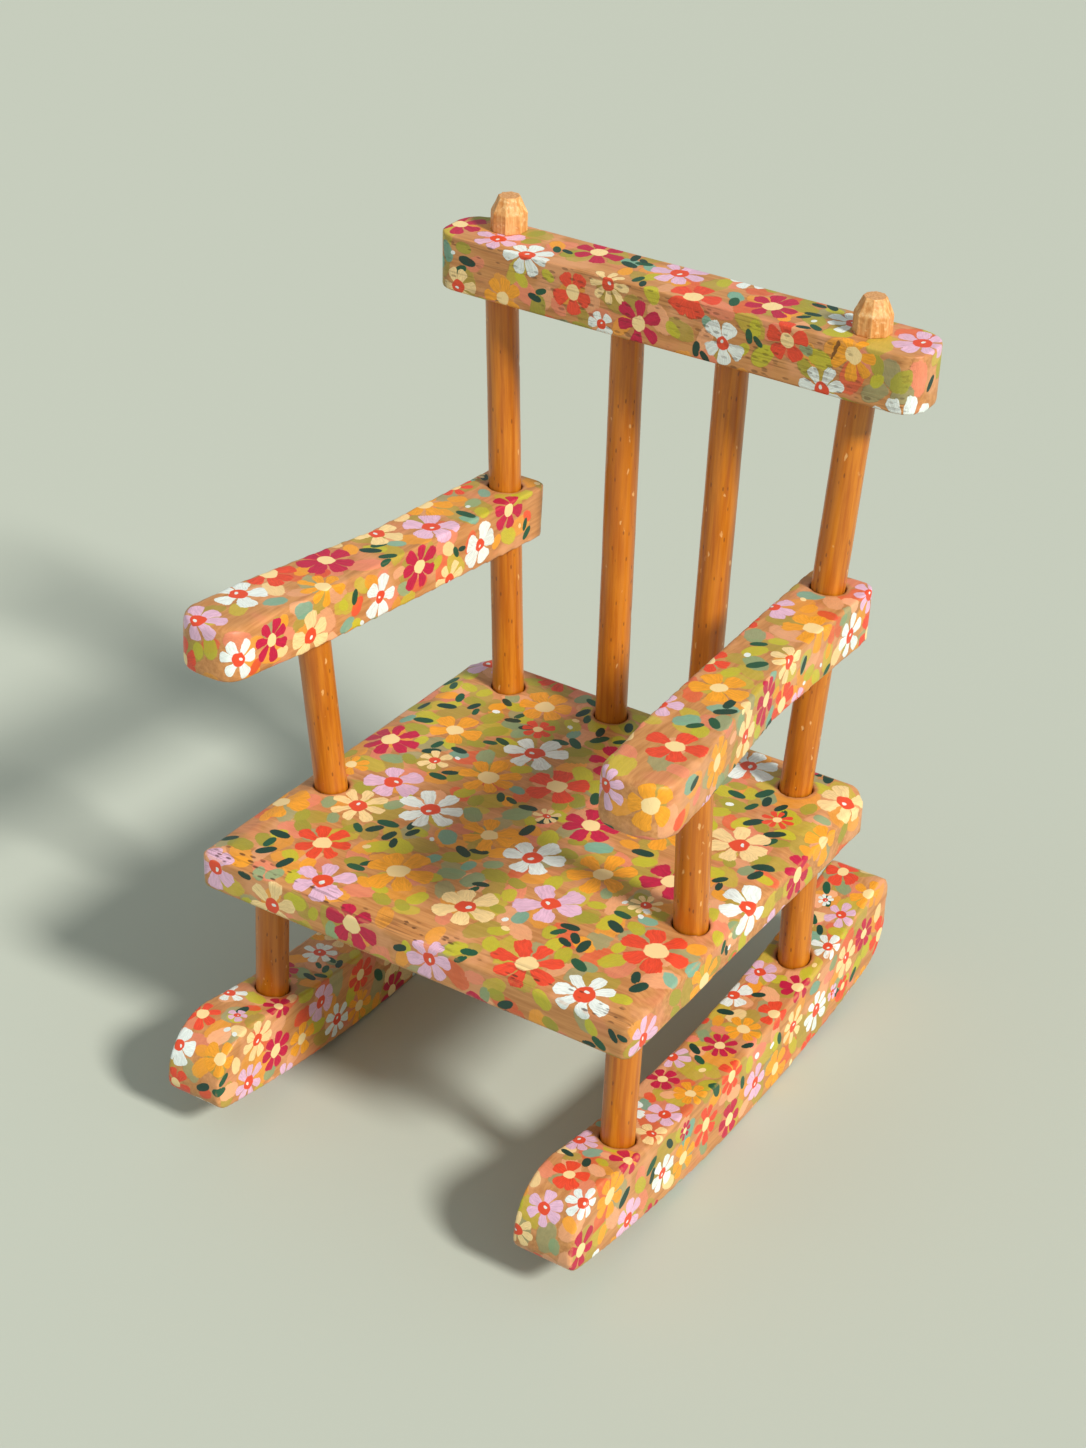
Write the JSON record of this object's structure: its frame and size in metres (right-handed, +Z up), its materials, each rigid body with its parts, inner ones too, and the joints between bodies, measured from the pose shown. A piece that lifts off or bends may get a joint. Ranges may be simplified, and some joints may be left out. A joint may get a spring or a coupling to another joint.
{
  "type": "miniature rocking chair",
  "caption": "Miniature rocking chair with a flat board seat, a dowel-spindle back under a crest rail, board armrests and curved rockers, for a doll or for display.",
  "frame": {"origin": "on the floor, under the middle of the whole chair's box", "axes": "+Z up, +X to the right seen from in front of the chair, +Y from the front to the back; left and right in node names are -X and +X"},
  "size_m": [0.1202, 0.1384, 0.1793],
  "materials": {
    "painted_wood": "hand-painted flowers over sealed wood, satin",
    "varnished_beech": "honey varnish, semi-gloss",
    "bare_beech": "whittled, thinly sealed, matte"
  },
  "bodies": {
    "root": {"seat": "painted_wood", "rocker_left": "painted_wood", "rocker_right": "painted_wood", "front_leg_left": "varnished_beech", "front_leg_right": "varnished_beech", "back_leg_left": "varnished_beech", "back_leg_right": "varnished_beech", "arm_post_left": "varnished_beech", "arm_post_right": "varnished_beech", "back_post_left": "varnished_beech", "back_post_right": "varnished_beech", "back_spindle_left": "varnished_beech", "back_spindle_right": "varnished_beech", "armrest_left": "painted_wood", "armrest_right": "painted_wood", "crest_rail": "painted_wood", "finial_left": "bare_beech", "finial_right": "bare_beech"}
  },
  "joints": []
}
